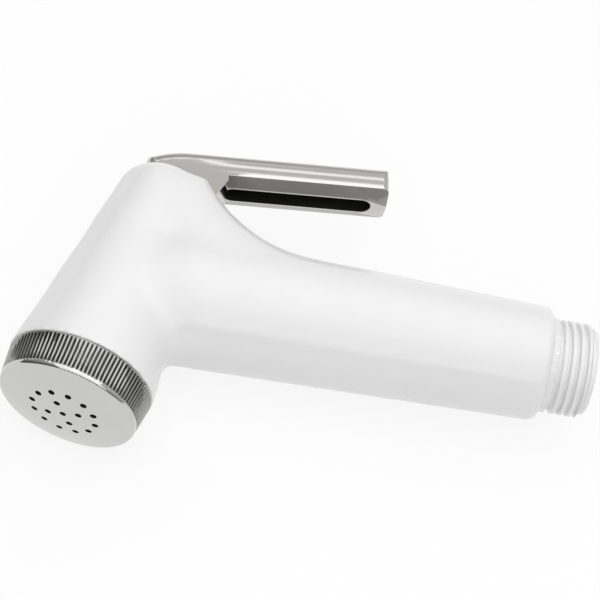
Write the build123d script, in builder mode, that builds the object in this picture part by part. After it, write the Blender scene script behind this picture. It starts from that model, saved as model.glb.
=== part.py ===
from build123d import *
import math
import os

os.makedirs("parts", exist_ok=True)

# Handheld bidet shower, lying on its side. Millimetres and degrees.
# Origin: middle of the hose thread, on the handle's axis. +X runs out of the hose inlet,
# +Y points to the lever's side, +Z is square to the plane of symmetry.

# Overall lines
handle_length = 94.5            # barrel's axis to the handle's end
nipple_length = 10.25           # thread that stands out of the handle
spray_angle = 100.95            # spray direction against the handle's axis

# Barrel
crown_height = 31.2             # handle's axis to the flat crown, along the barrel
crown_r = 10.3
crown_round = 6.3
mouth_depth = 24.2              # handle's axis to the mouth, along the barrel
mouth_r = 16.5

# Handle
handle_root_r = 15.2            # where the two axes cross
handle_end_r = 12.7
handle_edge = 1.8
root_inset = 2.6                # how far the handle starts inside the barrel's side
root_length = 13.0

# Saddle between the crown and the top of the handle
saddle_foot = 43.0              # where it meets the handle, from the barrel's axis
saddle_arc_r = 32.0
saddle_turn = 74.0
saddle_top_r = 10.9
saddle_shoulder = 7.4           # round of its shoulders at the crown
saddle_step_count = 6
saddle_sink = 0.12              # the saddle starts this far under the handle's skin

# Lever slot in the crown
slot_half = 6.0
slot_front = 7.35               # in front of the barrel's axis
slot_back = 9.5                 # behind it
slot_floor = 19.5               # heights are above the handle's axis
slot_sill = 23.8

# Lever hinge
pivot_front = 4.6
pivot_height = 27.3
pin_r = 1.25
pin_recess = 0.5
pin_wall = 1.5                  # depth of the blind end in the near cheek
pin_fit = 0.01
hinge_fit = 0.04

# Bores of the barrel, from the slot down to the mouth
stem_hole_r = 2.4
gland_top = 17.0
gland_r = 7.0
gland_foot = 5.2
chamber_r = 8.0
seat_level = 5.5                # levels below the handle's axis are depths
seat_depth = 6.5
spigot_ledge = 1.95             # the spigot is this much narrower than the mouth
spigot_wall = 2.05
plate_ledge = 2.0               # step on which the spring plate lies
seat_ledge = 1.2                # step against which the valve seat is screwed
plate_inset = 0.4               # the plate's step above the mouth
spigot_length = 5.2
run_out = 1.0                   # cuts run this far past a face

# Water way of the handle
port_r = 4.0
port_length = 14.0
core_start = 20.0
core_root_r = 8.8
core_end_r = 9.2
socket_r = 9.6
socket_length = 14.5

# Lever
lever_rise = 6.6                # lever's line against the handle's axis
lever_root_x = 18.4             # start of the free arm, at the edge between side and underside
lever_root_y = 31.5
lever_length = 37.0
lever_half = 5.75
lever_height = 6.75
lever_round = 3.0
lever_crown = 0.35
lip_drop = 1.3
lip_wall = 0.5
lip_taper = 6.0                 # over this length the lip narrows towards the tip
lip_tip_half = 0.6
pocket_half = 2.3
pocket_start = -0.8
pocket_end_gap = 3.6
pocket_depth = 4.2
tip_round = 1.5
tip_top_round = 1.6
nose_round = 3.2
nose_start = 8.7
nose_arc_r = 22.85
nose_turn = 60.0
hub_r = 2.4
pad_reach = 3.6
neck_back = 11.3
neck_drop = 3.0
lever_gap = 0.3

# Valve stem
travel_gap = 0.3                # between the push cap and the lever's pad
cap_r = 3.2
cap_height = 3.8
cap_dome = 0.9
stem_r = 2.0
stem_thread_r = 1.4
cap_thread = 2.2
piston_r = 3.95
piston_bore = 4.0
piston_top = 15.8
piston_length = 7.6
neck_r = 2.2
spindle_r = 1.5
groove_width = 1.6
groove_inset = 1.2
oring_r = 0.7
oring_ease = 0.02

# Gland sleeve
sleeve_ease = 0.05
circlip_thick = 0.9
circlip_depth = 0.7
circlip_width = 1.5
circlip_land = 1.0              # wall left under its groove
circlip_opening = 70.0

# Valve
port_bore = 4.6
seat_web = 3.5
seat_lip = 0.4
seat_lip_wall = 0.5
seat_skirt = 2.8
seat_skirt_wall = 1.5
valve_gap = 0.1
washer_r = 6.0
washer_thick = 2.0
cup_wall = 0.6
cup_floor = 1.2
cup_lip = 1.2
spindle_fit = 0.03
nut_flats = 5.5
nut_thick = 2.2
spindle_over = 0.7

# Spring, spring plate and diffuser
spring_r = 4.2
spring_wire_r = 0.5
spring_turn_count = 5.5
spring_ease = 0.05
plate_flange = 1.4
plate_plug = 1.4
plate_boss_ease = 0.3           # between the boss and the spring's coils
plate_boss = 2.2
plate_hole_count = 8
plate_hole_r = 1.5
plate_fit = 0.1
diffuser_gap = 1.6
diffuser_thick = 1.0
diffuser_wall = 1.1
diffuser_hole_r = 0.9
diffuser_inner_share = 0.32     # its rings of holes, as shares of its radius
diffuser_outer_share = 0.65
diffuser_inner_count = 6
diffuser_outer_count = 12

# Spray cap and its gasket
gasket_thick = 1.0
gasket_fit = 0.1
cap_length = 7.8                # from the mouth to the rim of the dome
cap_bow = 1.9                   # rise of the dome over its rim
cap_edge = 0.8                  # round between the knurled wall and the dome
cap_wall = 2.0
cap_skirt_ease = 0.35
cap_skirt_wall = 1.1
hole_r = 0.58
outer_hole_count = 12
outer_ring = 7.16
inner_hole_count = 4
inner_ring = 3.68
hole_turn = 23.0
cap_step = 0.25                 # the cap is this much narrower than the mouth
cap_draft = 0.95                # and narrows by this much to the dome
cap_fit = 0.05
cap_chamfer = 0.25
knurl_count = 107
knurl_side = 0.58
knurl_start = 0.4
knurl_lip = 1.0                 # smooth lip at the dome's end

# Inlet nipple
thread_major_r = 10.478         # G 1/2 pipe thread
nipple_chamfer = 0.9
nipple_bore = 7.0
nipple_inner_bore = 6.2
nipple_step = 12.0
nipple_fit = 0.05
plug_gap = 0.5
nipple_groove = 9.5             # from the handle's end to the seal's groove
nipple_oring_r = 0.7
strainer_wall = 0.8
strainer_length = 3.0
strainer_floor = 0.8
strainer_hole_r = 0.7
strainer_inner_share = 0.32     # its rings of holes, as shares of its radius
strainer_outer_share = 0.62
strainer_inner_count = 6
strainer_outer_count = 10

# Frames and derived places
reach = handle_length + nipple_length / 2
lean = math.radians(spray_angle)
cross = Vector(-reach, 0, 0)
spray = Vector(math.cos(lean), -math.sin(lean), 0)
side = Vector(math.sin(lean), math.cos(lean), 0)
barrel_axis = Axis(cross, spray)
barrel_side = Plane(origin=cross, x_dir=side, z_dir=(0, 0, -1))
rise = math.radians(lever_rise)
lever_along = Vector(math.cos(rise), math.sin(rise), 0)
lever_up = Vector(-math.sin(rise), math.cos(rise), 0)


def along(distance):
    """X of a point this far from the barrel's axis, on the handle's axis."""
    return distance - reach


def level(depth):
    """Plane across the barrel, this far below the handle's axis."""
    return Plane(origin=cross + spray * depth, x_dir=side, z_dir=spray)


def on_barrel(out, depth):
    """Point in the plane of symmetry, out from the barrel's axis and along it."""
    place = cross + side * out + spray * depth
    return (place.X, place.Y)


def on_lever(forward, up):
    """Point in the plane of symmetry, along the lever and square to it."""
    root = Vector(along(lever_root_x), lever_root_y, 0)
    place = root + lever_along * forward + lever_up * up
    return (place.X, place.Y)


def in_lever(forward, up, across):
    """Point in the lever's own directions."""
    place = on_lever(forward, up)
    return Vector(place[0], place[1], across)


def lever_plane(forward, up, across):
    """Plane along the lever, square to its height."""
    return Plane(origin=in_lever(forward, up, across), x_dir=lever_along, z_dir=lever_up)


def handle_r(distance):
    """Radius of the handle's cone this far from the barrel's axis."""
    return handle_root_r + (handle_end_r - handle_root_r) * distance / handle_length


def barrel_r(depth):
    """Radius of the barrel's cone at this depth."""
    return crown_r + (mouth_r - crown_r) * (depth + crown_height) / (mouth_depth + crown_height)


spigot_end = mouth_depth + spigot_length
spigot_r = mouth_r - spigot_ledge
throat_r = spigot_r - spigot_wall
lower_r = throat_r - plate_ledge
seat_r = lower_r - seat_ledge
plate_level = mouth_depth - plate_inset
pivot = on_barrel(-pivot_front, -pivot_height)
crown_drop = crown_round - crown_height + pivot_height
cheek_r = crown_r - crown_round + math.sqrt(crown_round ** 2 - crown_drop ** 2)
cheek_z = math.sqrt(cheek_r ** 2 - pivot_front ** 2)


# Saddle: the concave web that carries the crown's line down to the handle
saddle_foot_r = handle_r(saddle_foot) - saddle_sink
saddle_centre = (along(saddle_foot), saddle_foot_r + saddle_arc_r)
with BuildPart() as saddle:
    for i in range(saddle_step_count):
        share = i / (saddle_step_count - 1)
        turn = math.radians(saddle_turn * share)
        ring = saddle_foot_r + (saddle_top_r - saddle_foot_r) * share
        swing = saddle_arc_r + ring
        centre = (saddle_centre[0] - swing * math.sin(turn), saddle_centre[1] - swing * math.cos(turn), 0)
        forward = (-math.cos(turn), math.sin(turn), 0)
        with BuildSketch(Plane(origin=centre, x_dir=(0, 0, 1), z_dir=forward)):
            Circle(ring)
    loft()
    # the crown's own outline, seen along the handle, trims its top, shoulders and front
    with BuildSketch(Plane(origin=cross, x_dir=(0, 0, 1), z_dir=side)) as crown_outline:
        with BuildLine():
            Polyline(
                (-crown_r, -crown_height),
                (crown_r, -crown_height),
                (barrel_r(-gland_top), -gland_top),
                (mouth_r, 0),
                (mouth_r, mouth_depth),
                (-mouth_r, mouth_depth),
                (-mouth_r, 0),
                (-barrel_r(-gland_top), -gland_top),
                close=True,
            )
        make_face()
        fillet(crown_outline.vertices().sort_by(Axis.Y)[:2], saddle_shoulder)
    extrude(amount=saddle_foot + mouth_r, mode=Mode.INTERSECT)

# Body: barrel and handle in one moulding
with BuildPart() as body:
    with BuildSketch(barrel_side) as barrel_outline:
        with BuildLine():
            Polyline(
                (0, -crown_height),
                (crown_r, -crown_height),
                (mouth_r, mouth_depth),
                (0, mouth_depth),
                close=True,
            )
        make_face()
        crown_corner = barrel_outline.vertices().sort_by_distance((crown_r, -crown_height, 0))[0]
        fillet(crown_corner, crown_round)
    revolve(axis=barrel_axis)
    with BuildSketch(Plane.XY) as handle_outline:
        with BuildLine():
            Polyline(
                (along(0), 0),
                (along(0), handle_root_r - root_inset),
                (along(root_length), handle_r(root_length)),
                (along(handle_length), handle_end_r),
                (along(handle_length), 0),
                close=True,
            )
        make_face()
        end_corner = handle_outline.vertices().sort_by_distance((along(handle_length), handle_end_r, 0))[0]
        fillet(end_corner, handle_edge)
    revolve(axis=Axis.X)
    add(saddle.part)
    # spigot for the ring's thread
    with BuildSketch(level(mouth_depth)):
        Circle(spigot_r)
    extrude(amount=spigot_length)
    # slot for the lever, open at the top and at the back
    with BuildSketch(barrel_side):
        with BuildLine():
            Polyline(
                (-slot_front, -slot_floor),
                (slot_back, -slot_floor),
                (slot_back, -slot_sill),
                (saddle_foot, -slot_sill),
                (saddle_foot, -saddle_foot),
                (-slot_front, -saddle_foot),
                close=True,
            )
        make_face()
    extrude(amount=slot_half, both=True, mode=Mode.SUBTRACT)
    # stepped bore of the barrel
    with BuildSketch(barrel_side):
        with BuildLine():
            Polyline(
                (0, -slot_floor - run_out),
                (stem_hole_r, -slot_floor - run_out),
                (stem_hole_r, -gland_top),
                (gland_r, -gland_top),
                (gland_r, -gland_foot),
                (chamber_r, -gland_foot),
                (chamber_r, seat_level),
                (seat_r, seat_level),
                (seat_r, seat_level + seat_depth),
                (lower_r, seat_level + seat_depth),
                (lower_r, plate_level),
                (throat_r, plate_level),
                (throat_r, spigot_end + run_out),
                (0, spigot_end + run_out),
                close=True,
            )
        make_face()
    revolve(axis=barrel_axis, mode=Mode.SUBTRACT)
    # groove for the gland's circlip
    circlip_level = -gland_foot - circlip_land - circlip_thick / 2
    with BuildSketch(barrel_side):
        with Locations((gland_r, circlip_level)):
            Rectangle(2 * circlip_depth, circlip_thick + 2 * sleeve_ease)
    revolve(axis=barrel_axis, mode=Mode.SUBTRACT)
    # water way of the handle with the nipple's socket
    with BuildSketch(Plane.XY):
        with BuildLine():
            Polyline(
                (along(0), 0),
                (along(0), port_r),
                (along(port_length), port_r),
                (along(core_start), core_root_r),
                (along(handle_length - socket_length), core_end_r),
                (along(handle_length - socket_length), socket_r),
                (along(handle_length) + run_out, socket_r),
                (along(handle_length) + run_out, 0),
                close=True,
            )
        make_face()
    revolve(axis=Axis.X, mode=Mode.SUBTRACT)
    # hinge pin's hole: through the far cheek, blind in the near one
    with BuildSketch(Plane.XY.offset(slot_half + pin_wall)):
        with Locations(pivot):
            Circle(pin_r + pin_fit)
    extrude(amount=-2 * mouth_r - slot_half, mode=Mode.SUBTRACT)
body.part.label = "body"
export_step(body.part, "parts/body.step")

# Lever: a swept, round-topped bar with its hub and neck below
with BuildPart() as lever:
    with BuildLine() as lever_path:
        straight = Line(on_lever(lever_length, lever_height), on_lever(-nose_start, lever_height))
        JernArc(straight @ 1, straight % 1, nose_arc_r, nose_turn)
    tip = on_lever(lever_length, lever_height)
    with BuildSketch(Plane(origin=(tip[0], tip[1], 0), x_dir=(0, 0, 1), z_dir=-lever_along)) as bar_section:
        with BuildLine():
            Polyline(
                (-lever_half, -lever_crown),
                (-lever_half, -2 * lever_height),
                (lever_half, -2 * lever_height),
                (lever_half, -lever_crown),
            )
            ThreePointArc((lever_half, -lever_crown), (0, 0), (-lever_half, -lever_crown))
        make_face()
        fillet(bar_section.vertices().group_by(Axis.Y)[-1], lever_round)
    sweep(path=lever_path.wires()[0])
    slot_wall = lever_gap - slot_front
    with BuildSketch(Plane.XY):
        with BuildLine():
            tip_top = Line(
                on_lever(lever_length, -lip_drop),
                on_lever(lever_length, lever_height - tip_top_round),
            )
            TangentArc(tip_top @ 1, on_lever(lever_length - tip_top_round, lever_height), tangent=tip_top % 1)
            Polyline(
                on_lever(lever_length - tip_top_round, lever_height),
                on_lever(lever_length - tip_top_round, 2 * lever_height),
                on_barrel(slot_wall, -crown_height - 2 * lever_height),
                on_barrel(slot_wall, -pivot_height - hub_r),
                on_barrel(-pivot_front - hub_r, -pivot_height),
            )
            RadiusArc(
                on_barrel(-pivot_front - hub_r, -pivot_height),
                on_barrel(-pivot_front, -pivot_height + hub_r),
                -hub_r,
            )
            Polyline(
                on_barrel(-pivot_front, -pivot_height + hub_r),
                on_barrel(pad_reach, -pivot_height + hub_r),
                on_barrel(neck_back, -pivot_height + hub_r - neck_drop),
                on_lever(0, -lip_drop),
                on_lever(lever_length, -lip_drop),
            )
        make_face()
    extrude(amount=2 * lever_half, both=True, mode=Mode.INTERSECT)
    # corners of the tip, and of the nose over the slot's front wall
    with BuildSketch(lever_plane(0, 0, 0)) as plan:
        Rectangle(2 * lever_length, 2 * lever_half)
        fillet(plan.vertices().group_by(Axis.X)[-1], tip_round)
        with Locations((-lever_length, 0)):
            Rectangle(2 * lever_length, 2 * lever_half)
    extrude(amount=4 * lever_height, both=True, mode=Mode.INTERSECT)
    with BuildSketch(level(0)) as nose_plan:
        with Locations((slot_wall + lever_length, 0)):
            Rectangle(2 * lever_length, 2 * lever_half)
        fillet(nose_plan.vertices().group_by(Axis.X)[0], nose_round)
    extrude(amount=2 * crown_height, both=True, mode=Mode.INTERSECT)
    # the arm's underside slopes in from both sides to the pocket's lip
    end = on_lever(lever_length, 0)
    with BuildSketch(Plane(origin=(end[0], end[1], 0), x_dir=(0, 0, 1), z_dir=-lever_along)) as slopes:
        with BuildLine():
            Polyline(
                (lever_half, 0),
                (lever_half + run_out, 0),
                (lever_half + run_out, -2 * lip_drop),
                (pocket_half + lip_wall, -2 * lip_drop),
                (pocket_half + lip_wall, -lip_drop),
                close=True,
            )
        make_face()
        mirror(about=Plane.YZ)
    extrude(amount=lever_length, mode=Mode.SUBTRACT)
    # at the tip the slopes widen towards the corners
    for way in (1, -1):
        lip_start = in_lever(lever_length - lip_taper, -lip_drop, way * (pocket_half + lip_wall))
        lip_run = in_lever(lever_length, -lip_drop, way * lip_tip_half) - lip_start
        corner_run = in_lever(lever_length, 0, way * lever_half) - lip_start
        with BuildSketch(Plane(origin=lip_start, x_dir=lip_run, z_dir=lip_run.cross(corner_run) * way)):
            Rectangle(lever_length, lever_length)
        extrude(amount=lever_height, mode=Mode.SUBTRACT)
    # pocket
    pocket_length = lever_length - pocket_start - pocket_end_gap
    with BuildSketch(lever_plane(pocket_start + pocket_length / 2, -lip_drop, 0)):
        SlotOverall(pocket_length, 2 * pocket_half)
    extrude(amount=pocket_depth, mode=Mode.SUBTRACT)
    # hinge bore
    with BuildSketch(Plane.XY):
        with Locations(pivot):
            Circle(pin_r + hinge_fit)
    extrude(amount=2 * lever_half, both=True, mode=Mode.SUBTRACT)
lever.part.label = "lever"
export_step(lever.part, "parts/lever.step")

# Hinge pin, pressed in from the far side
pin_far = cheek_z - pin_recess
with BuildPart() as lever_pin:
    with BuildSketch(Plane.XY.offset(-pin_far)):
        with Locations(pivot):
            Circle(pin_r)
    extrude(amount=pin_far + slot_half + pin_wall)
    chamfer(lever_pin.edges().filter_by(GeomType.CIRCLE), pin_r / 6)
lever_pin.part.label = "lever_pin"
export_step(lever_pin.part, "parts/lever_pin.step")

# Gland sleeve with a groove outside, in which its seal lies
sleeve_foot = circlip_level - circlip_thick / 2
sleeve_r = gland_r - sleeve_ease
seal_floor = sleeve_r - 2 * oring_r - oring_ease
seal_level = (-gland_top + sleeve_foot) / 2
with BuildPart() as gland_sleeve:
    with BuildSketch(barrel_side):
        with Locations(((piston_bore + sleeve_r) / 2, seal_level)):
            Rectangle(sleeve_r - piston_bore, gland_top + sleeve_foot)
        with Locations(((seal_floor + gland_r) / 2, seal_level)):
            Rectangle(gland_r - seal_floor, groove_width, mode=Mode.SUBTRACT)
    revolve(axis=barrel_axis)
gland_sleeve.part.label = "gland_sleeve"
export_step(gland_sleeve.part, "parts/gland_sleeve.step")

with BuildPart() as gland_oring:
    with BuildSketch(barrel_side):
        with Locations((seal_floor + oring_r + oring_ease, seal_level)):
            Circle(oring_r)
    revolve(axis=barrel_axis)
gland_oring.part.label = "gland_oring"
export_step(gland_oring.part, "parts/gland_oring.step")

# Circlip: an open ring, sprung into its groove under the sleeve
with BuildPart() as gland_circlip:
    circlip_r = gland_r + circlip_depth - sleeve_ease
    with BuildSketch(level(circlip_level - circlip_thick / 2)):
        Circle(circlip_r)
        Circle(circlip_r - circlip_width, mode=Mode.SUBTRACT)
        half_gap = math.radians(circlip_opening / 2)
        with BuildLine():
            Polyline(
                (0, 0),
                (2 * circlip_r * math.cos(half_gap), 2 * circlip_r * math.sin(half_gap)),
                (2 * circlip_r * math.cos(half_gap), -2 * circlip_r * math.sin(half_gap)),
                close=True,
            )
        make_face(mode=Mode.SUBTRACT)
    extrude(amount=circlip_thick)
gland_circlip.part.label = "gland_circlip"
export_step(gland_circlip.part, "parts/gland_circlip.step")

# Valve stem: thread for the cap, piston with two grooves, neck and spindle
cap_top = -pivot_height + hub_r + travel_gap
cap_foot = cap_top + cap_height
washer_top = seat_level + seat_web + seat_lip + valve_gap
washer_foot = washer_top + washer_thick
cup_foot = washer_foot + cup_floor
nut_foot = cup_foot + nut_thick
piston_foot = -piston_top + piston_length
ring_floor = piston_bore - 2 * oring_r - 2 * oring_ease
upper_ring = -piston_top + groove_inset + groove_width / 2
lower_ring = piston_foot - groove_inset - groove_width / 2
with BuildPart() as valve_stem:
    with BuildSketch(barrel_side):
        with BuildLine():
            Polyline(
                (0, cap_foot - cap_thread),
                (stem_thread_r, cap_foot - cap_thread),
                (stem_thread_r, cap_foot),
                (stem_r, cap_foot),
                (stem_r, -piston_top),
                (piston_r, -piston_top),
                (piston_r, piston_foot),
                (neck_r, piston_foot),
                (neck_r, washer_top),
                (spindle_r, washer_top),
                (spindle_r, nut_foot + spindle_over),
                (0, nut_foot + spindle_over),
                close=True,
            )
        make_face()
        with Locations(((ring_floor + piston_bore) / 2, upper_ring), ((ring_floor + piston_bore) / 2, lower_ring)):
            Rectangle(piston_bore - ring_floor, groove_width, mode=Mode.SUBTRACT)
    revolve(axis=barrel_axis)
valve_stem.part.label = "valve_stem"
export_step(valve_stem.part, "parts/valve_stem.step")

for name, place in (("stem_oring_upper", upper_ring), ("stem_oring_lower", lower_ring)):
    with BuildPart() as stem_oring:
        with BuildSketch(barrel_side):
            with Locations((ring_floor + oring_r + oring_ease, place)):
                Circle(oring_r)
        revolve(axis=barrel_axis)
    stem_oring.part.label = name
    export_step(stem_oring.part, f"parts/{name}.step")

# Push cap with a domed top
with BuildPart() as stem_cap:
    with BuildSketch(barrel_side):
        with BuildLine():
            ThreePointArc((0, cap_top), (cap_r / 2, cap_top + cap_dome / 4), (cap_r, cap_top + cap_dome))
            Polyline(
                (cap_r, cap_top + cap_dome),
                (cap_r, cap_foot),
                (stem_thread_r, cap_foot),
                (stem_thread_r, cap_foot - cap_thread),
                (0, cap_foot - cap_thread),
                (0, cap_top),
            )
        make_face()
    revolve(axis=barrel_axis)
stem_cap.part.label = "stem_cap"
export_step(stem_cap.part, "parts/stem_cap.step")

# Valve seat: port, raised lip and a skirt that screws into the barrel
seat_out = seat_r - sleeve_ease
seat_web_foot = seat_level + seat_web
seat_groove = seat_level + seat_web / 2
seat_floor = seat_out - 2 * oring_r - oring_ease
with BuildPart() as valve_seat:
    with BuildSketch(barrel_side):
        with BuildLine():
            Polyline(
                (port_bore, seat_level),
                (seat_out, seat_level),
                (seat_out, seat_web_foot + seat_skirt),
                (seat_out - seat_skirt_wall, seat_web_foot + seat_skirt),
                (seat_out - seat_skirt_wall, seat_web_foot),
                (port_bore + 2 * seat_lip_wall, seat_web_foot),
                (port_bore + seat_lip_wall, seat_web_foot + seat_lip),
                (port_bore, seat_web_foot + seat_lip),
                close=True,
            )
        make_face()
        with Locations(((seat_floor + seat_r) / 2, seat_groove)):
            Rectangle(seat_r - seat_floor, groove_width, mode=Mode.SUBTRACT)
    revolve(axis=barrel_axis)
valve_seat.part.label = "valve_seat"
export_step(valve_seat.part, "parts/valve_seat.step")

with BuildPart() as seat_oring:
    with BuildSketch(barrel_side):
        with Locations((seat_floor + oring_r + oring_ease, seat_groove)):
            Circle(oring_r)
    revolve(axis=barrel_axis)
seat_oring.part.label = "seat_oring"
export_step(seat_oring.part, "parts/seat_oring.step")

# Valve washer, its cup and the nut, threaded on the spindle
with BuildPart() as valve_washer:
    with BuildSketch(level(washer_top)):
        Circle(washer_r)
        Circle(spindle_r + spindle_fit, mode=Mode.SUBTRACT)
    extrude(amount=washer_thick)
valve_washer.part.label = "valve_washer"
export_step(valve_washer.part, "parts/valve_washer.step")

with BuildPart() as washer_cup:
    with BuildSketch(barrel_side):
        with BuildLine():
            Polyline(
                (spindle_r + spindle_fit, washer_foot),
                (washer_r + sleeve_ease, washer_foot),
                (washer_r + sleeve_ease, washer_foot - cup_lip),
                (washer_r + cup_wall, washer_foot - cup_lip),
                (washer_r + cup_wall, cup_foot),
                (spindle_r + spindle_fit, cup_foot),
                close=True,
            )
        make_face()
    revolve(axis=barrel_axis)
washer_cup.part.label = "washer_cup"
export_step(washer_cup.part, "parts/washer_cup.step")

with BuildPart() as stem_nut:
    with BuildSketch(level(cup_foot)):
        RegularPolygon(nut_flats / 2, 6, major_radius=False)
        Circle(spindle_r + spindle_fit, mode=Mode.SUBTRACT)
    extrude(amount=nut_thick)
stem_nut.part.label = "stem_nut"
export_step(stem_nut.part, "parts/stem_nut.step")

# Spring plate: flange on the barrel's step, plug above it and a boss inside the spring
plate_top = plate_level - plate_plug
plate_foot = plate_level + plate_flange
boss_r = spring_r - spring_wire_r - plate_boss_ease
plate_hole_ring = (spring_r + spring_wire_r + lower_r) / 2
with BuildPart() as spring_plate:
    with BuildSketch(barrel_side):
        with BuildLine():
            Polyline(
                (0, plate_top - plate_boss),
                (boss_r, plate_top - plate_boss),
                (boss_r, plate_top),
                (lower_r - plate_fit, plate_top),
                (lower_r - plate_fit, plate_level),
                (throat_r - plate_fit, plate_level),
                (throat_r - plate_fit, plate_foot),
                (0, plate_foot),
                close=True,
            )
        make_face()
    revolve(axis=barrel_axis)
    with BuildSketch(level(plate_top)):
        with PolarLocations(plate_hole_ring, plate_hole_count):
            Circle(plate_hole_r)
    extrude(amount=plate_plug + plate_flange, mode=Mode.SUBTRACT)
spring_plate.part.label = "spring_plate"
export_step(spring_plate.part, "parts/spring_plate.step")

# Return spring between the cup and the spring plate
spring_top = cup_foot + spring_wire_r + spring_ease
spring_height = plate_top - spring_wire_r - spring_ease - spring_top
with BuildPart() as return_spring:
    with BuildLine():
        coil = Helix(
            pitch=spring_height / spring_turn_count,
            height=spring_height,
            radius=spring_r,
            center=cross + spray * spring_top,
            direction=spray,
        )
    with BuildSketch(Plane(origin=coil @ 0, z_dir=coil % 0)):
        Circle(spring_wire_r)
    sweep(is_frenet=True)
return_spring.part.label = "return_spring"
export_step(return_spring.part, "parts/return_spring.step")

# Flow diffuser: a perforated disc on a rim
diffuser_r = throat_r - plate_fit
diffuser_top = plate_foot + diffuser_gap
with BuildPart() as flow_diffuser:
    with BuildSketch(level(plate_foot)):
        Circle(diffuser_r)
    extrude(amount=diffuser_gap + diffuser_thick)
    with BuildSketch(level(plate_foot)):
        Circle(diffuser_r - diffuser_wall)
    extrude(amount=diffuser_gap, mode=Mode.SUBTRACT)
    with BuildSketch(level(diffuser_top)):
        with PolarLocations(diffuser_r * diffuser_inner_share, diffuser_inner_count):
            Circle(diffuser_hole_r)
        with PolarLocations(diffuser_r * diffuser_outer_share, diffuser_outer_count):
            Circle(diffuser_hole_r)
    extrude(amount=diffuser_thick, mode=Mode.SUBTRACT)
flow_diffuser.part.label = "flow_diffuser"
export_step(flow_diffuser.part, "parts/flow_diffuser.step")

# Flat gasket on the spigot's end
gasket_foot = spigot_end + gasket_thick
with BuildPart() as face_gasket:
    with BuildSketch(level(spigot_end)):
        Circle(spigot_r - gasket_fit)
        Circle(throat_r + gasket_fit, mode=Mode.SUBTRACT)
    extrude(amount=gasket_thick)
face_gasket.part.label = "face_gasket"
export_step(face_gasket.part, "parts/face_gasket.step")

# Spray cap, one piece: knurled wall threaded on the spigot, domed face with its holes,
# and a skirt inside that holds the diffuser. It narrows to the face.
cap_back_r = mouth_r - cap_step
cap_front_r = cap_back_r - cap_draft
cap_bore = spigot_r + cap_fit
cap_skirt_r = throat_r - cap_skirt_ease
cap_rim = mouth_depth + cap_length
dome_top = cap_rim + cap_bow
dome_r = (cap_front_r ** 2 + cap_bow ** 2) / (2 * cap_bow)
dome_half_drop = dome_r - math.sqrt(dome_r ** 2 - (cap_front_r / 2) ** 2)
skirt_end = diffuser_top + diffuser_thick
with BuildPart() as spray_cap:
    with BuildSketch(barrel_side) as cap_outline:
        with BuildLine():
            ThreePointArc((0, dome_top), (cap_front_r / 2, dome_top - dome_half_drop), (cap_front_r, cap_rim))
            Polyline(
                (cap_front_r, cap_rim),
                (cap_back_r, mouth_depth),
                (cap_bore, mouth_depth),
                (cap_bore, gasket_foot),
                (cap_skirt_r, gasket_foot),
                (cap_skirt_r, skirt_end),
                (cap_skirt_r - cap_skirt_wall, skirt_end),
                (cap_skirt_r - cap_skirt_wall, gasket_foot),
                (0, dome_top - cap_wall),
                (0, dome_top),
            )
        make_face()
        chamfer(cap_outline.vertices().sort_by_distance((cap_back_r, mouth_depth, 0))[0], cap_chamfer)
        fillet(cap_outline.vertices().sort_by_distance((cap_front_r, cap_rim, 0))[0], cap_edge)
    revolve(axis=barrel_axis)
    with BuildSketch(level(skirt_end)):
        Circle(hole_r)
        with PolarLocations(inner_ring, inner_hole_count, start_angle=hole_turn):
            Circle(hole_r)
        with PolarLocations(outer_ring, outer_hole_count, start_angle=hole_turn):
            Circle(hole_r)
    extrude(amount=dome_top - skirt_end, mode=Mode.SUBTRACT)
    groove_start = cross + side * cap_back_r + spray * mouth_depth
    slant = (spray * cap_length - side * cap_draft).normalized()
    with BuildPart(mode=Mode.PRIVATE) as groove:
        with BuildSketch(Plane(origin=groove_start + slant * knurl_start, x_dir=(0, 0, 1), z_dir=slant)):
            Rectangle(knurl_side, knurl_side, rotation=45)
        extrude(amount=cap_length - knurl_start - knurl_lip)
    grooves = [groove.part.rotate(barrel_axis, 360 / knurl_count * i) for i in range(knurl_count)]
    add(grooves, mode=Mode.SUBTRACT)
spray_cap.part.label = "spray_cap"
export_step(spray_cap.part, "parts/spray_cap.step")

# Inlet nipple: thread outside the handle, plug with a seal inside its socket
nipple_end = along(handle_length + nipple_length)
plug_end = along(handle_length - socket_length + plug_gap)
plug_r = socket_r - nipple_fit
nipple_seal = along(handle_length - nipple_groove)
nipple_floor = plug_r - 2 * nipple_oring_r - oring_ease
strainer_seat = nipple_end - nipple_step
with BuildPart() as inlet_nipple:
    with BuildSketch(Plane.XY) as nipple_outline:
        with BuildLine():
            Polyline(
                (plug_end, nipple_inner_bore),
                (plug_end, plug_r),
                (along(handle_length), plug_r),
                (along(handle_length), thread_major_r),
                (nipple_end - nipple_chamfer, thread_major_r),
                (nipple_end, thread_major_r - nipple_chamfer),
                (nipple_end, nipple_bore),
                (strainer_seat, nipple_bore),
                (strainer_seat, nipple_inner_bore),
                close=True,
            )
        make_face()
        with Locations((nipple_seal, (nipple_floor + socket_r) / 2)):
            Rectangle(groove_width, socket_r - nipple_floor, mode=Mode.SUBTRACT)
    revolve(axis=Axis.X)
inlet_nipple.part.label = "inlet_nipple"
export_step(inlet_nipple.part, "parts/inlet_nipple.step")

with BuildPart() as nipple_oring:
    with BuildSketch(Plane.XY):
        with Locations((nipple_seal, nipple_floor + nipple_oring_r + oring_ease)):
            Circle(nipple_oring_r)
    revolve(axis=Axis.X)
nipple_oring.part.label = "nipple_oring"
export_step(nipple_oring.part, "parts/nipple_oring.step")

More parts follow.
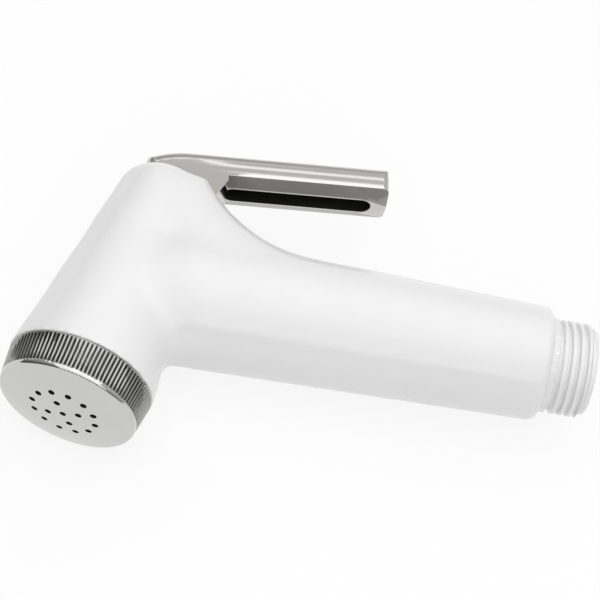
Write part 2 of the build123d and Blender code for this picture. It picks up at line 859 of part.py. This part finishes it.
# Inlet strainer: a small perforated basket on the step of the nipple's bore
strainer_r = nipple_bore - nipple_fit
strainer_plane = Plane(origin=(strainer_seat, 0, 0), x_dir=(0, 1, 0), z_dir=(1, 0, 0))
with BuildPart() as inlet_strainer:
    with BuildSketch(strainer_plane):
        Circle(strainer_r)
        Circle(strainer_r - strainer_wall, mode=Mode.SUBTRACT)
    extrude(amount=strainer_length)
    with BuildSketch(strainer_plane):
        Circle(strainer_r)
        Circle(strainer_hole_r, mode=Mode.SUBTRACT)
        with PolarLocations(strainer_r * strainer_inner_share, strainer_inner_count):
            Circle(strainer_hole_r, mode=Mode.SUBTRACT)
        with PolarLocations(strainer_r * strainer_outer_share, strainer_outer_count):
            Circle(strainer_hole_r, mode=Mode.SUBTRACT)
    extrude(amount=strainer_floor)
inlet_strainer.part.label = "inlet_strainer"
export_step(inlet_strainer.part, "parts/inlet_strainer.step")
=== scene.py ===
import math

import bpy
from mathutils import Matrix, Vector


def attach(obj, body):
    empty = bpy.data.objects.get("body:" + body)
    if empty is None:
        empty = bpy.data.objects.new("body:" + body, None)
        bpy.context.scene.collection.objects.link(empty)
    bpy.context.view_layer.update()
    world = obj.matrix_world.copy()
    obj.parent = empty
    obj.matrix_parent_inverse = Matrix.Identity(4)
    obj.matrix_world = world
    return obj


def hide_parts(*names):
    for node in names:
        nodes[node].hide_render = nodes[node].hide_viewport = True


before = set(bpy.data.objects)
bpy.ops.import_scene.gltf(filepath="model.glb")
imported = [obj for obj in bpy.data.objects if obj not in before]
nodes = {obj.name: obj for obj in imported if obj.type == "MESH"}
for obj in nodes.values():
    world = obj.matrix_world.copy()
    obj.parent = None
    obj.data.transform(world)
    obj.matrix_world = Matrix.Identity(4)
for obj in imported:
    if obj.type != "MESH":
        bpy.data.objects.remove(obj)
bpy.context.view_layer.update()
scene = bpy.context.scene
scene.view_settings.view_transform = "Standard"

# Camera: above the lying spray, looking down past the spray face along the handle
camera_data = bpy.data.cameras.new("camera")
camera_data.lens = 108.0
camera_data.sensor_width = 36.0
camera = bpy.data.objects.new("camera", camera_data)
scene.collection.objects.link(camera)
camera.location = (-0.07361, -0.21308, 0.33519)
camera.rotation_euler = (0.56635, -0.12398, 0.13261)
scene.camera = camera

# Body: barrel and handle in one moulding of glossy white ABS. It runs soft where the handle leaves
# the barrel and where the saddle runs out on the handle, so the CAD shell is re-meshed and its inside
# corners are eased. The slot for the lever's root is cut again after that, so its edges stay crisp.
reach = 0.099625                    # barrel's axis to the middle of the hose thread
spray_lean = math.radians(100.95)
cross_point = Vector((-reach, 0, 0))
spray_way = Vector((math.cos(spray_lean), -math.sin(spray_lean), 0))
side_way = Vector((math.sin(spray_lean), math.cos(spray_lean), 0))
crown_r, mouth_r = 0.0103, 0.0165
crown_level, mouth_level = -0.0312, 0.0242
flare_start_r, flare_end_r, flare_end = 0.0126, 0.01486, 0.013
handle_end_r, handle_length = 0.0127, 0.0945
handle_from = 0.010                 # from here on the handle's wall is clear of the barrel's
mouth_keep = 0.0012                 # the barrel's mouth keeps its edge
body_voxel = 0.00055
skin_depth = 2 * body_voxel         # what lies deeper is the moulding's inside
corner_reach, corner_gain, corner_rounds = 0.0078, 1.6, 220
skin_rounds = 3
saddle_from, saddle_to, saddle_fade, saddle_ease = 0.002, 0.052, 0.006, 0.9
slot_half, slot_keep, slot_end, slot_clear = 0.0075, 0.014, 0.024, 0.005
slot_front, slot_back, slot_foot = 0.00735, 0.0095, 0.043
slot_floor, slot_sill, slot_top = 0.0195, 0.0238, 0.043
slot_wide, slot_trim = 0.012, 0.0004
weld_gap = 0.000002


def only(piece):
    """Makes this the one selected piece."""
    bpy.ops.object.select_all(action="DESELECT")
    bpy.context.view_layer.objects.active = piece
    piece.select_set(True)


def merged_copy(node, name):
    """Copy of a CAD node with its own mesh, its loose triangles joined."""
    copy = nodes[node].copy()
    copy.data = nodes[node].data.copy()
    copy.name = name
    copy.data.name = name
    copy.data.materials.clear()
    scene.collection.objects.link(copy)
    only(copy)
    bpy.ops.object.mode_set(mode="EDIT")
    bpy.ops.mesh.select_all(action="SELECT")
    bpy.ops.mesh.remove_doubles(threshold=weld_gap)
    bpy.ops.mesh.normals_make_consistent(inside=False)
    bpy.ops.object.mode_set(mode="OBJECT")
    return copy


def apply_all(piece):
    """Applies the piece's modifiers in their order."""
    only(piece)
    for modifier in list(piece.modifiers):
        bpy.ops.object.modifier_apply(modifier=modifier.name)


body = merged_copy("body", "body_shell")
remesh = body.modifiers.new("remesh", "REMESH")
remesh.mode = "VOXEL"
remesh.voxel_size = body_voxel
apply_all(body)
corner = body.vertex_groups.new(name="corner")
skin = body.vertex_groups.new(name="skin")
for vertex in body.data.vertices:
    place = vertex.co - cross_point
    depth = place.dot(spray_way)
    barrel_off = (place - spray_way * depth).length
    barrel_skin = crown_r + (mouth_r - crown_r) * (depth - crown_level) / (mouth_level - crown_level)
    handle_off = math.hypot(place.y, place.z)
    if place.x < flare_end:
        handle_skin = flare_start_r + (flare_end_r - flare_start_r) * place.x / flare_end
    else:
        handle_skin = flare_end_r + ((handle_end_r - flare_end_r) * (place.x - flare_end)
                                     / (handle_length - flare_end))
    outside = barrel_off > barrel_skin - skin_depth
    if place.x > handle_from:
        outside = outside and handle_off > handle_skin - skin_depth
    slot_gap = max(abs(place.z) - slot_half, slot_keep - place.y, place.x - slot_end)
    if slot_gap > 0:
        skin.add([vertex.index], 1.0, "REPLACE")
    if not outside or slot_gap <= 0 or depth > mouth_level - mouth_keep:
        continue
    near = max(abs(barrel_off - barrel_skin), abs(handle_off - handle_skin))
    ease = min(1.0, corner_gain * max(0.0, 1.0 - near / corner_reach))
    if place.y > saddle_from and saddle_from < place.x < saddle_to:
        saddle_end = (min(1.0, (saddle_to - place.x) / saddle_fade)
                      * min(1.0, (place.x - saddle_from) / saddle_fade))
        ease = max(ease, saddle_ease * saddle_end * min(1.0, (place.y - saddle_from) / saddle_fade))
    ease *= min(1.0, slot_gap / slot_clear)
    if ease > 0:
        corner.add([vertex.index], ease, "REPLACE")
ease_corner = body.modifiers.new("ease_corner", "SMOOTH")
ease_corner.vertex_group = "corner"
ease_corner.factor = 0.5
ease_corner.iterations = corner_rounds
ease_skin = body.modifiers.new("ease_skin", "SMOOTH")
ease_skin.vertex_group = "skin"
ease_skin.factor = 0.5
ease_skin.iterations = skin_rounds
apply_all(body)
slot_corners = ((-slot_front, slot_floor), (slot_back, slot_floor), (slot_back, slot_sill),
                (slot_foot, slot_sill), (slot_foot, slot_top), (-slot_front, slot_top))
bpy.ops.mesh.primitive_circle_add(vertices=6, fill_type="NGON")
slot_cutter = bpy.context.object
for vertex, (side, level) in zip(slot_cutter.data.vertices, slot_corners):
    side += math.copysign(slot_trim, side)
    vertex.co = cross_point + side_way * side - spray_way * (level - slot_trim)
    vertex.co.z = -slot_wide / 2 - slot_trim
bpy.ops.object.mode_set(mode="EDIT")
bpy.ops.mesh.select_all(action="SELECT")
bpy.ops.mesh.extrude_region_move(
    TRANSFORM_OT_translate={"value": (0, 0, slot_wide + 2 * slot_trim)})
bpy.ops.mesh.select_all(action="SELECT")
bpy.ops.mesh.normals_make_consistent(inside=False)
bpy.ops.object.mode_set(mode="OBJECT")
slot = body.modifiers.new("slot", "BOOLEAN")
slot.operation = "DIFFERENCE"
slot.solver = "EXACT"
slot.object = slot_cutter
apply_all(body)
bpy.data.objects.remove(slot_cutter)
bpy.ops.object.shade_smooth_by_angle(angle=math.radians(40))


def finish_group():
    """Node group of a finish that is not quite even: colour, roughness and a fine unevenness."""
    group = bpy.data.node_groups.new("uneven_finish", "ShaderNodeTree")
    for name, kind in (("Tone", "NodeSocketColor"), ("Second Tone", "NodeSocketColor"),
                       ("Scale", "NodeSocketFloat"), ("Roughness Low", "NodeSocketFloat"),
                       ("Roughness High", "NodeSocketFloat"), ("Unevenness", "NodeSocketFloat")):
        group.interface.new_socket(name, in_out="INPUT", socket_type=kind)
    for name, kind in (("Color", "NodeSocketColor"), ("Roughness", "NodeSocketFloat"),
                       ("Normal", "NodeSocketVector")):
        group.interface.new_socket(name, in_out="OUTPUT", socket_type=kind)
    given = group.nodes.new("NodeGroupInput")
    result = group.nodes.new("NodeGroupOutput")
    where = group.nodes.new("ShaderNodeTexCoord")
    cloud = group.nodes.new("ShaderNodeTexNoise")
    cloud.inputs["Detail"].default_value = 3.0
    group.links.new(where.outputs["Object"], cloud.inputs["Vector"])
    group.links.new(given.outputs["Scale"], cloud.inputs["Scale"])
    tone = group.nodes.new("ShaderNodeMixRGB")
    group.links.new(cloud.outputs["Fac"], tone.inputs["Fac"])
    group.links.new(given.outputs["Tone"], tone.inputs["Color1"])
    group.links.new(given.outputs["Second Tone"], tone.inputs["Color2"])
    group.links.new(tone.outputs["Color"], result.inputs["Color"])
    rough = group.nodes.new("ShaderNodeMapRange")
    group.links.new(cloud.outputs["Fac"], rough.inputs["Value"])
    group.links.new(given.outputs["Roughness Low"], rough.inputs["To Min"])
    group.links.new(given.outputs["Roughness High"], rough.inputs["To Max"])
    group.links.new(rough.outputs["Result"], result.inputs["Roughness"])
    fine = group.nodes.new("ShaderNodeMath")
    fine.operation = "MULTIPLY"
    fine.inputs[1].default_value = 6.0
    group.links.new(given.outputs["Scale"], fine.inputs[0])
    grain = group.nodes.new("ShaderNodeTexNoise")
    group.links.new(where.outputs["Object"], grain.inputs["Vector"])
    group.links.new(fine.outputs["Value"], grain.inputs["Scale"])
    bump = group.nodes.new("ShaderNodeBump")
    bump.inputs["Distance"].default_value = 0.0002
    group.links.new(given.outputs["Unevenness"], bump.inputs["Strength"])
    group.links.new(grain.outputs["Fac"], bump.inputs["Height"])
    group.links.new(bump.outputs["Normal"], result.inputs["Normal"])
    return group


uneven_finish = finish_group()


def finish(name, tone, second_tone, rough_low, rough_high, scale=90.0, unevenness=0.02,
           metallic=0.0):
    """Material whose colour, roughness and surface vary a little over the piece."""
    material = bpy.data.materials.new(name)
    material.use_nodes = True
    tree = material.node_tree
    shader = tree.nodes["Principled BSDF"]
    shader.inputs["Metallic"].default_value = metallic
    group = tree.nodes.new("ShaderNodeGroup")
    group.node_tree = uneven_finish
    group.inputs["Tone"].default_value = (*tone, 1)
    group.inputs["Second Tone"].default_value = (*second_tone, 1)
    group.inputs["Scale"].default_value = scale
    group.inputs["Roughness Low"].default_value = rough_low
    group.inputs["Roughness High"].default_value = rough_high
    group.inputs["Unevenness"].default_value = unevenness
    tree.links.new(group.outputs["Color"], shader.inputs["Base Color"])
    tree.links.new(group.outputs["Roughness"], shader.inputs["Roughness"])
    tree.links.new(group.outputs["Normal"], shader.inputs["Normal"])
    return material


white_abs = finish("white_abs", (0.800, 0.800, 0.803), (0.822, 0.820, 0.822), 0.28, 0.34,
                   unevenness=0.01)
white_shader = white_abs.node_tree.nodes["Principled BSDF"]
white_shader.inputs["Coat Weight"].default_value = 0.3
white_shader.inputs["Coat Roughness"].default_value = 0.08
body.data.materials.append(white_abs)
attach(body, "housing")
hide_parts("body")

# Lever: cast zinc, polished and chrome plated. Its sides are slightly crowned and the arm's edges a
# little rounded by polishing, most of all the one between side and underside. The slopes beside the
# pocket have painted shade in their chrome, and the pocket's inside is painted near black as shade.
root_forward, root_height = 0.0184, 0.0315
lever_root = Vector((root_forward - reach, root_height, 0))
lever_rise = math.radians(6.6)
lever_along = Vector((math.cos(lever_rise), math.sin(lever_rise), 0))
lever_up = Vector((-math.sin(lever_rise), math.cos(lever_rise), 0))
lever_half, wall_height = 0.00575, 0.00375
arm_from, flat_angle, side_facing = -0.004, math.radians(0.6), 0.99
wall_bulge, wall_strips, wall_cuts = 0.00013, 8, 12
bulge_from, bulge_full, cut_step = -0.007, -0.001, 0.004
wall_touch = 0.00002
edge_width, fine_share, edge_angle = 0.0006, 0.35, math.radians(26)
crease_level, crease_side = 0.0004, 0.004
pocket_half, pocket_start, pocket_end = 0.00235, -0.0011, 0.0338
pocket_foot, pocket_roof = -0.00108, 0.00292 + 0.0001
slope_lean, tip_slope_lean, slope_lean_end, slope_down = 0.3, 0.15, 0.6, -0.7

lever = merged_copy("lever", "lever_plated")


def take_arm():
    """Selects the arm's faces and the flat sides, but not the curved nose."""
    bpy.ops.object.mode_set(mode="EDIT")
    bpy.ops.mesh.select_mode(type="FACE")
    bpy.ops.mesh.select_all(action="DESELECT")
    bpy.ops.object.mode_set(mode="OBJECT")
    for face in lever.data.polygons:
        forward = (face.center - lever_root).dot(lever_along)
        face.select = forward > arm_from or abs(face.normal.z) > side_facing
    bpy.ops.object.mode_set(mode="EDIT")


take_arm()
bpy.ops.mesh.dissolve_limited(angle_limit=flat_angle)
for strip in range(1, wall_strips):
    take_arm()
    level = wall_height * strip / wall_strips
    bpy.ops.mesh.bisect(plane_co=lever_root + lever_up * level, plane_no=lever_up)
for cut in range(wall_cuts):
    take_arm()
    forward = bulge_from + cut_step * cut
    bpy.ops.mesh.bisect(plane_co=lever_root + lever_along * forward, plane_no=lever_along)
bpy.ops.object.mode_set(mode="OBJECT")
for vertex in lever.data.vertices:
    offset = vertex.co - lever_root
    height = offset.dot(lever_up) / wall_height
    forward = offset.dot(lever_along)
    if 0 < height < 1 and abs(offset.z) > lever_half - wall_touch and forward > bulge_from:
        bulge = (wall_bulge * 4 * height * (1 - height)
                 * min(1.0, (forward - bulge_from) / (bulge_full - bulge_from)))
        vertex.co.z += math.copysign(bulge, offset.z)
polished = lever.data.attributes.new("bevel_weight_edge", "FLOAT", "EDGE")
places = [vertex.co - lever_root for vertex in lever.data.vertices]
lever_faces = {}
for face in lever.data.polygons:
    for key in face.edge_keys:
        lever_faces.setdefault(key, []).append(face.normal.copy())
for edge in lever.data.edges:
    beside = lever_faces[edge.key]
    if len(beside) == 2 and beside[0].angle(beside[1]) > edge_angle:
        ends = [places[i] for i in edge.vertices]
        on_crease = all(abs(end.dot(lever_up)) < crease_level and abs(end.z) > crease_side
                        for end in ends)
        if all(end.dot(lever_along) > arm_from for end in ends):
            polished.data[edge.index].value = 1.0 if on_crease else fine_share
edge_round = lever.modifiers.new("edge_round", "BEVEL")
edge_round.width = edge_width
edge_round.segments = 4
edge_round.limit_method = "WEIGHT"
apply_all(lever)
bpy.ops.object.shade_smooth_by_angle(angle=math.radians(24))
flat_sides = lever.modifiers.new("flat_sides", "WEIGHTED_NORMAL")
flat_sides.keep_sharp = True
apply_all(lever)
lever_chrome = finish("lever_chrome", (0.56, 0.552, 0.525), (0.60, 0.592, 0.565), 0.10, 0.15,
                      120.0, 0.004, 1.0)
# Chrome of the slopes, painted darker: painted shade for the dim, shaded body they reflect
slope_shaded_chrome = finish("slope_shaded_chrome", (0.29, 0.285, 0.27), (0.34, 0.335, 0.32), 0.10, 0.15,
                      120.0, 0.006, 1.0)
# Inside of the pocket, painted near black as painted shade
pocket_painted_shade = finish("pocket_painted_shade", (0.008, 0.0075, 0.007), (0.016, 0.015, 0.014), 0.35, 0.5,
                     300.0, 0.05)
lever.data.materials.append(lever_chrome)
lever.data.materials.append(pocket_painted_shade)
lever.data.materials.append(slope_shaded_chrome)
# Pocket faces take the painted near-black shade, slope faces the chrome painted darker as shade
for face in lever.data.polygons:
    offset = face.center - lever_root
    forward, up = offset.dot(lever_along), offset.dot(lever_up)
    in_pocket = abs(offset.z) < pocket_half and pocket_start < forward < pocket_end
    on_slope = (slope_lean < abs(face.normal.z) < slope_lean_end
                or tip_slope_lean < face.normal.z < slope_lean_end)
    if in_pocket and pocket_foot < up < pocket_roof:
        face.material_index = 1
    elif on_slope and up < 0 and face.normal.dot(lever_up) < slope_down:
        face.material_index = 2
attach(lever, "lever_arm")
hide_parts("lever")

# Spray cap: moulded in one and chrome plated, knurled for the fingers. Its colour is painted darker
# down in the knurl's grooves, as painted shade. The seventeen spray holes open in small counterbores,
# painted near black inside as shade.
cap_back_r, cap_draft, cap_length, knurl_end = 0.01625, 0.00095, 0.0078, 0.0311
hole_rings = ((0.0, 1), (0.00368, 4), (0.00716, 12))
hole_turn = math.radians(23.0)
hole_r, borer_length, borer_sides = 0.00074, 0.0064, 20
dome_top = 0.0339
groove_from, groove_full, groove_least = 0.00008, 0.00028, 0.35

cap = merged_copy("spray_cap", "spray_cap_plated")
cap_chrome = finish("cap_chrome", (0.56, 0.56, 0.537), (0.60, 0.60, 0.577), 0.05, 0.09,
                    120.0, 0.004, 1.0)
# Inside of the spray holes, painted near black as painted shade
hole_painted_shade = finish("hole_painted_shade", (0.010, 0.010, 0.009), (0.018, 0.018, 0.017), 0.5, 0.7,
                   300.0, 0.05)
cap_tree = cap_chrome.node_tree
cap_shader = cap_tree.nodes["Principled BSDF"]


def cap_node(kind, operation, first, second=None):
    """Math node of the cap's painted shade in the knurl's grooves."""
    node = cap_tree.nodes.new(kind)
    node.operation = operation
    for socket, value in zip(node.inputs, (first, second)):
        if isinstance(value, bpy.types.NodeSocket):
            cap_tree.links.new(value, socket)
        elif value is not None:
            socket.default_value = value
    return node


# Painted shade: the cap's colour is mixed towards near black by how far a point lies below the knurl's
# crests
cap_where = cap_tree.nodes.new("ShaderNodeTexCoord")
from_cross = cap_node("ShaderNodeVectorMath", "SUBTRACT", cap_where.outputs["Object"], cross_point)
cap_depth = cap_node("ShaderNodeVectorMath", "DOT_PRODUCT", from_cross.outputs["Vector"],
                     spray_way)
on_axis = cap_node("ShaderNodeVectorMath", "SCALE", spray_way)
cap_tree.links.new(cap_depth.outputs["Value"], on_axis.inputs["Scale"])
off_axis = cap_node("ShaderNodeVectorMath", "DISTANCE", from_cross.outputs["Vector"],
                    on_axis.outputs["Vector"])
drawn_in = cap_node("ShaderNodeMath", "MULTIPLY", cap_depth.outputs["Value"],
                    cap_draft / cap_length)
full_r = cap_node("ShaderNodeMath", "SUBTRACT", cap_back_r + mouth_level * cap_draft / cap_length,
                  drawn_in.outputs["Value"])
below = cap_node("ShaderNodeMath", "SUBTRACT", full_r.outputs["Value"], off_axis.outputs["Value"])
groove = cap_tree.nodes.new("ShaderNodeMapRange")
groove.inputs["From Min"].default_value = groove_from
groove.inputs["From Max"].default_value = groove_full
groove.inputs["To Min"].default_value = groove_least
cap_tree.links.new(below.outputs["Value"], groove.inputs["Value"])
on_knurl = cap_node("ShaderNodeMath", "LESS_THAN", cap_depth.outputs["Value"], knurl_end)
groove_painted_shade = cap_node("ShaderNodeMath", "MULTIPLY", groove.outputs["Result"],
                       on_knurl.outputs["Value"])
# Near-black colour of the painted groove shade
cap_tone = cap_tree.nodes.new("ShaderNodeMixRGB")
cap_tone.inputs["Color2"].default_value = (0.03, 0.03, 0.028, 1)
cap_tree.links.new(groove_painted_shade.outputs["Value"], cap_tone.inputs["Fac"])
cap_tree.links.new(cap_shader.inputs["Base Color"].links[0].from_socket, cap_tone.inputs["Color1"])
cap_tree.links.new(cap_tone.outputs["Color"], cap_shader.inputs["Base Color"])
cap.data.materials.append(cap_chrome)
level_z = spray_way.cross(side_way)
borers = []
for ring, count in hole_rings:
    for i in range(count):
        turn = hole_turn + 2 * math.pi * i / count
        outwards = side_way * math.cos(turn) + level_z * math.sin(turn)
        bpy.ops.mesh.primitive_cylinder_add(
            vertices=borer_sides, radius=hole_r, depth=borer_length,
            location=cross_point + spray_way * dome_top + outwards * ring,
            rotation=spray_way.to_track_quat("Z", "Y").to_euler())
        bpy.context.object.data.materials.append(hole_painted_shade)
        borers.append(bpy.context.object)
bpy.ops.object.select_all(action="DESELECT")
for borer in borers:
    borer.select_set(True)
bpy.context.view_layer.objects.active = borers[0]
bpy.ops.object.join()
borer = bpy.context.object
bore = cap.modifiers.new("bore", "BOOLEAN")
bore.operation = "DIFFERENCE"
bore.solver = "EXACT"
bore.material_mode = "TRANSFER"
bore.object = borer
apply_all(cap)
bpy.data.objects.remove(borer)
bpy.ops.object.shade_smooth_by_angle(angle=math.radians(20))
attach(cap, "housing")
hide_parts("spray_cap")

# Inlet nipple: white ABS, pressed into the handle's end, with the cut G 1/2 thread for the hose. One
# ring-shaped cutter makes the undercut behind the thread and one helix makes the thread.
thread_r, thread_root_r, thread_pitch = 0.010478, 0.00955, 0.001814
thread_crest = 0.0008
thread_start = -0.00262             # middle of the first groove, on the side that faces up
thread_turns = 5
groove_root, groove_over, winding_steps = 0.00022, 0.0004, 72
undercut_growth = 1.03              # keeps the ring's faces off the helix's first turn
end_chamfer, chamfer_rise = 0.0011, 1.5
outer_from, end_zone, end_touch = 0.0090, 0.0016, 0.0001

nipple = merged_copy("inlet_nipple", "inlet_nipple_threaded")
nipple_end = max(vertex.co.x for vertex in nipple.data.vertices)
for vertex in nipple.data.vertices:
    off = math.hypot(vertex.co.y, vertex.co.z)
    if off > outer_from and nipple_end - end_zone < vertex.co.x < nipple_end - end_touch:
        vertex.co.x = nipple_end - end_chamfer * chamfer_rise
    elif off > outer_from and vertex.co.x > nipple_end - end_touch:
        vertex.co.yz = Vector(vertex.co.yz) * ((thread_r - end_chamfer) / off)
groove_mouth = (thread_pitch - thread_crest) / 2
wide = groove_mouth + groove_over * (groove_mouth - groove_root) / (thread_r - thread_root_r)
corners = ((-wide, thread_r + groove_over), (wide, thread_r + groove_over),
           (-groove_root, thread_root_r), (groove_root, thread_root_r))
for cut, turns, advance in (("undercut", 1, 0.0), ("thread", thread_turns, thread_pitch)):
    bpy.ops.mesh.primitive_plane_add(size=1.0)
    cutter = bpy.context.object
    growth = 1.0 if advance else undercut_growth
    for vertex, (x, r) in zip(cutter.data.vertices, corners):
        vertex.co = (thread_start - thread_pitch / 4 + x * growth, 0,
                     thread_r - (thread_r - r) * growth)
    bpy.ops.object.mode_set(mode="EDIT")
    bpy.ops.mesh.select_all(action="SELECT")
    bpy.ops.mesh.delete(type="ONLY_FACE")
    bpy.ops.object.mode_set(mode="OBJECT")
    winding = cutter.modifiers.new("winding", "SCREW")
    winding.axis = "X"
    winding.steps = winding_steps
    winding.screw_offset = advance
    winding.iterations = turns
    apply_all(cutter)
    bpy.ops.object.mode_set(mode="EDIT")
    bpy.ops.mesh.select_all(action="SELECT")
    bpy.ops.mesh.remove_doubles(threshold=0.000001)
    if advance:
        bpy.ops.mesh.fill_holes(sides=0)
    bpy.ops.mesh.select_all(action="SELECT")
    bpy.ops.mesh.normals_make_consistent(inside=False)
    bpy.ops.object.mode_set(mode="OBJECT")
    groove = nipple.modifiers.new(cut, "BOOLEAN")
    groove.operation = "DIFFERENCE"
    groove.solver = "EXACT"
    groove.object = cutter
    apply_all(nipple)
    bpy.data.objects.remove(cutter)
bpy.ops.object.shade_smooth_by_angle(angle=math.radians(25))
nipple.data.materials.append(white_abs)
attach(nipple, "housing")
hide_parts("inlet_nipple")

# Pieces inside, which show only when the spray comes apart: turned brass, stainless wire and
# stampings, natural acetal and black nitrile rubber
brass = finish("brass", (0.60, 0.43, 0.18), (0.66, 0.48, 0.22), 0.17, 0.26, 400.0, 0.02, 1.0)
steel = finish("steel", (0.50, 0.50, 0.50), (0.56, 0.56, 0.57), 0.18, 0.26, 400.0, 0.02, 1.0)
acetal = finish("acetal", (0.74, 0.74, 0.70), (0.79, 0.79, 0.75), 0.35, 0.5, 200.0, 0.04)
rubber = finish("rubber", (0.020, 0.020, 0.020), (0.034, 0.034, 0.033), 0.5, 0.7, 500.0, 0.1)
for material, names in (
        (brass, ("valve_stem", "stem_cap", "washer_cup")),
        (steel, ("lever_pin", "gland_circlip", "return_spring", "stem_nut")),
        (acetal, ("gland_sleeve", "valve_seat", "spring_plate", "flow_diffuser", "inlet_strainer")),
        (rubber, ("gland_oring", "stem_oring_upper", "stem_oring_lower", "seat_oring", "valve_washer",
                  "face_gasket", "nipple_oring"))):
    for name in names:
        nodes[name].data.materials.clear()
        nodes[name].data.materials.append(material)

# Floor: a pale level sheet just under the lying spray. It shows almost white to the camera and in the
# chrome, and still takes the spray's soft shadow.
floor_level, floor_size, glow_share = -0.0168, 3.0, 0.85
bpy.ops.mesh.primitive_plane_add(size=floor_size, location=(-0.06, 0.0, floor_level))
floor = bpy.context.object
floor.name = "floor"
floor_mat = bpy.data.materials.new("floor_white")
floor_mat.use_nodes = True
floor_tree = floor_mat.node_tree
floor_shader = floor_tree.nodes["Principled BSDF"]
floor_shader.inputs["Base Color"].default_value = (0.9, 0.9, 0.9, 1)
floor_shader.inputs["Roughness"].default_value = 0.9
floor_shader.inputs["Specular IOR Level"].default_value = 0.0
path = floor_tree.nodes.new("ShaderNodeLightPath")
seen = floor_tree.nodes.new("ShaderNodeMath")
seen.operation = "MAXIMUM"
floor_tree.links.new(path.outputs["Is Camera Ray"], seen.inputs[0])
floor_tree.links.new(path.outputs["Is Glossy Ray"], seen.inputs[1])
share = floor_tree.nodes.new("ShaderNodeMath")
share.operation = "MULTIPLY"
share.inputs[1].default_value = glow_share
floor_tree.links.new(seen.outputs[0], share.inputs[0])
glow = floor_tree.nodes.new("ShaderNodeEmission")
glow.inputs["Strength"].default_value = 1.0
mix = floor_tree.nodes.new("ShaderNodeMixShader")
floor_tree.links.new(share.outputs[0], mix.inputs[0])
floor_tree.links.new(floor_shader.outputs[0], mix.inputs[1])
floor_tree.links.new(glow.outputs[0], mix.inputs[2])
floor_tree.links.new(mix.outputs[0], floor_tree.nodes["Material Output"].inputs["Surface"])
floor.data.materials.append(floor_mat)

# Studio: a sky that is bright overhead and falls off to a dim horizon, plain white to the camera
world = bpy.data.worlds.new("studio")
scene.world = world
world.use_nodes = True
sky = world.node_tree
background = sky.nodes["Background"]
background.inputs["Color"].default_value = (1, 1, 1, 1)
where = sky.nodes.new("ShaderNodeTexCoord")
lean = sky.nodes.new("ShaderNodeVectorMath")
lean.operation = "DOT_PRODUCT"
lean.inputs[1].default_value = Vector((0.35, 0.45, 0.85)).normalized()
sky.links.new(where.outputs["Generated"], lean.inputs[0])
fade = sky.nodes.new("ShaderNodeMapRange")
fade.inputs["From Min"].default_value = -0.15
fade.inputs["From Max"].default_value = 1.0
fade.inputs["To Min"].default_value = 0.10
fade.inputs["To Max"].default_value = 0.78
sky.links.new(lean.outputs["Value"], fade.inputs["Value"])
sky_path = sky.nodes.new("ShaderNodeLightPath")
level = sky.nodes.new("ShaderNodeMix")
level.data_type = "FLOAT"
sky.links.new(sky_path.outputs["Is Camera Ray"], level.inputs["Factor"])
sky.links.new(fade.outputs["Result"], level.inputs["A"])
level.inputs["B"].default_value = 1.0
sky.links.new(level.outputs["Result"], background.inputs["Strength"])

# The lamps: a wide box overhead, a lower box and a narrow strip on the camera's side, a second strip
# beyond the spray, which draw the bright lines on gloss and chrome, and a weak fill that gloss and
# chrome don't show
for name, place, aim, size, depth, energy, in_gloss in (
        ("ceiling_box", (-0.05, -0.06, 0.6), (-0.05, -0.06, 0.0), 1.0, 0.85, 2.65, True),
        ("near_box", (-0.05, -0.64, 0.48), (-0.05, 0.0, 0.0), 1.0, 0.34, 1.0, True),
        ("near_strip", (-0.05, -0.735, 0.34), (-0.05, 0.0, 0.0), 1.0, 0.03, 0.4, True),
        ("far_strip", (-0.05, 0.59, 0.6), (-0.05, 0.0, 0.0), 1.0, 0.08, 0.22, True),
        ("far_fill", (-0.05, 0.7, 0.3), (-0.05, 0.0, 0.0), 0.8, 0.4, 0.35, False)):
    lamp_data = bpy.data.lights.new(name, "AREA")
    lamp_data.shape = "RECTANGLE"
    lamp_data.size = size
    lamp_data.size_y = depth
    lamp_data.energy = energy
    lamp = bpy.data.objects.new(name, lamp_data)
    scene.collection.objects.link(lamp)
    lamp.location = place
    lamp.rotation_euler = (Vector(place) - Vector(aim)).to_track_quat("Z", "Y").to_euler()
    lamp.visible_glossy = in_gloss
